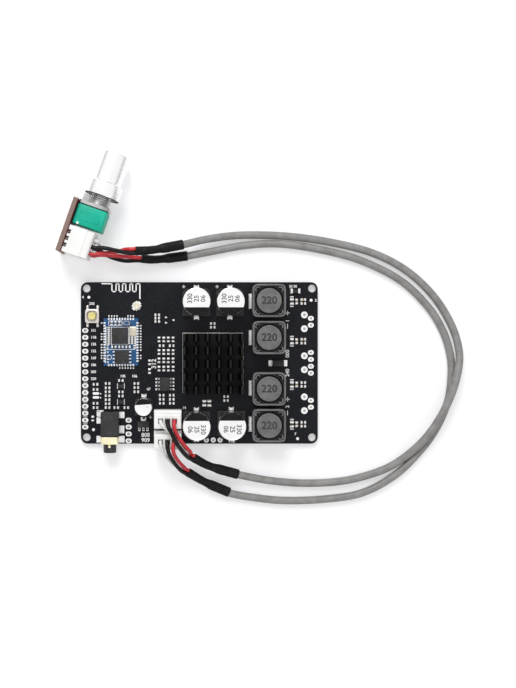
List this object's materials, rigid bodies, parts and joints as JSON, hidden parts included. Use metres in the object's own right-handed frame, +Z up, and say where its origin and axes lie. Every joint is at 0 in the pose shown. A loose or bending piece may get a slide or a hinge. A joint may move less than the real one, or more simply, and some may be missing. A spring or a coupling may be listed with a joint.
{
  "type": "bluetooth stereo amplifier board",
  "caption": "Black bluetooth stereo amplifier board with a finned heatsink, and a volume knob on its own small board at the end of shielded leads.",
  "frame": {"origin": "middle of the main board's underside", "axes": "+Z up out of the component side, +X along the board's long side towards the speaker pads, +Y towards the volume control"},
  "size_m": [0.1486, 0.1298, 0.0156],
  "materials": {
    "board_black": "black solder mask",
    "anodised_black": "black anodised",
    "chip_black": "moulded epoxy",
    "module_blue": "blue solder mask",
    "can_silver": "coated aluminium can",
    "base_black": "moulded",
    "shield_grey": "ferrite, matte",
    "core_grey": "ferrite, ground",
    "switch_metal": "plated",
    "button_cream": "moulded",
    "socket_gold": "gold plated",
    "jack_black": "moulded",
    "jack_brass": "polished",
    "header_white": "moulded nylon",
    "plug_white": "moulded nylon",
    "control_brown": "resin bonded paper board",
    "pot_green": "moulded",
    "pot_silver": "plated",
    "shaft_silver": "machined",
    "knob_silver": "turned, satin",
    "cable_grey": "soft jacket",
    "sleeve_black": "shrunk sleeve",
    "wire_white": "soft insulation",
    "wire_black": "soft insulation",
    "wire_red": "soft insulation"
  },
  "bodies": {
    "amplifier": {"amplifier_chip": "chip_black", "antenna_socket": "socket_gold", "bluetooth_board": "module_blue", "bluetooth_chip": "chip_black", "board_header_lower": "header_white", "board_header_upper": "header_white", "board_plug_lower": "plug_white", "board_plug_upper": "plug_white", "cable_first": "cable_grey", "cable_second": "cable_grey", "capacitor_base_1": "base_black", "capacitor_base_2": "base_black", "capacitor_base_3": "base_black", "capacitor_base_4": "base_black", "capacitor_base_small": "base_black", "capacitor_can_1": "can_silver", "capacitor_can_2": "can_silver", "capacitor_can_3": "can_silver", "capacitor_can_4": "can_silver", "capacitor_can_small": "can_silver", "control_board": "control_brown", "control_header_lower": "header_white", "control_header_upper": "header_white", "control_plug_lower": "plug_white", "control_plug_upper": "plug_white", "flash_chip": "chip_black", "heatsink": "anodised_black", "inductor_core_1": "core_grey", "inductor_core_2": "core_grey", "inductor_core_3": "core_grey", "inductor_core_4": "core_grey", "inductor_shield_1": "shield_grey", "inductor_shield_2": "shield_grey", "inductor_shield_3": "shield_grey", "inductor_shield_4": "shield_grey", "jack_body": "jack_black", "jack_sleeve": "jack_brass", "main_board": "board_black", "mode_switch_body": "switch_metal", "pot_body": "pot_green", "pot_bushing": "pot_silver", "sleeve_first_board": "sleeve_black", "sleeve_first_control": "sleeve_black", "sleeve_second_board": "sleeve_black", "sleeve_second_control": "sleeve_black", "wire_black_first_board": "wire_black", "wire_black_first_control": "wire_black", "wire_black_second_board": "wire_black", "wire_black_second_control": "wire_black", "wire_red_first_board": "wire_red", "wire_red_first_control": "wire_red", "wire_red_second_board": "wire_red", "wire_red_second_control": "wire_red", "wire_white_first_board": "wire_white", "wire_white_first_control": "wire_white", "wire_white_second_board": "wire_white", "wire_white_second_control": "wire_white"},
    "volume_knob": {"pot_shaft": "shaft_silver", "volume_knob": "knob_silver"},
    "mode_button": {"mode_button": "button_cream"}
  },
  "joints": [
    {"name": "volume_turn", "type": "hinge", "parent": "amplifier", "child": "volume_knob", "pos_m": [-0.0355, 0.0604, 0.0066], "axis": [0.3305, 0.9438, 0], "range_deg": [-150, 150]},
    {"name": "mode_press", "type": "slide", "parent": "amplifier", "child": "mode_button", "axis": [0, 0, -1], "range_m": [0, 0.00025], "stiffness_N_per_m": 8000}
  ]
}
